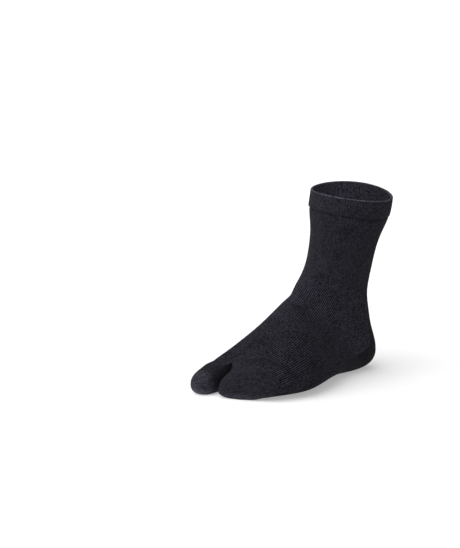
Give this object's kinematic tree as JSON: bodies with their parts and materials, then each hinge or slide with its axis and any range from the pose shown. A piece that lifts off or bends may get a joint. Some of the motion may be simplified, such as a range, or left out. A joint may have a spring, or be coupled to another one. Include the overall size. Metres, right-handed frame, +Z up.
{
  "type": "tabi sock",
  "caption": "Split-toe rib-knit ankle sock in the form it has on a standing left foot, with a folded band, turned heel and plain-knit sole.",
  "frame": {"origin": "on the inside of the sole under the middle of the heel, where the wearer's heel stands", "axes": "+Z up through the leg, -Y towards the toes, +X towards the little toe, which is the wearer's left"},
  "size_m": [0.1043, 0.2429, 0.2001],
  "materials": {
    "welt_knit": "matt heathered double knit",
    "rib_knit": "matt heathered rib knit",
    "plain_knit": "matt plain knit",
    "toe_knit": "matt heathered fine knit"
  },
  "bodies": {
    "root": {"cuff": "welt_knit", "leg": "rib_knit", "instep": "rib_knit", "heel_pocket": "plain_knit", "sole": "plain_knit", "big_toe_pocket": "toe_knit", "big_toe_cap": "toe_knit", "four_toe_pocket": "toe_knit"}
  },
  "joints": []
}
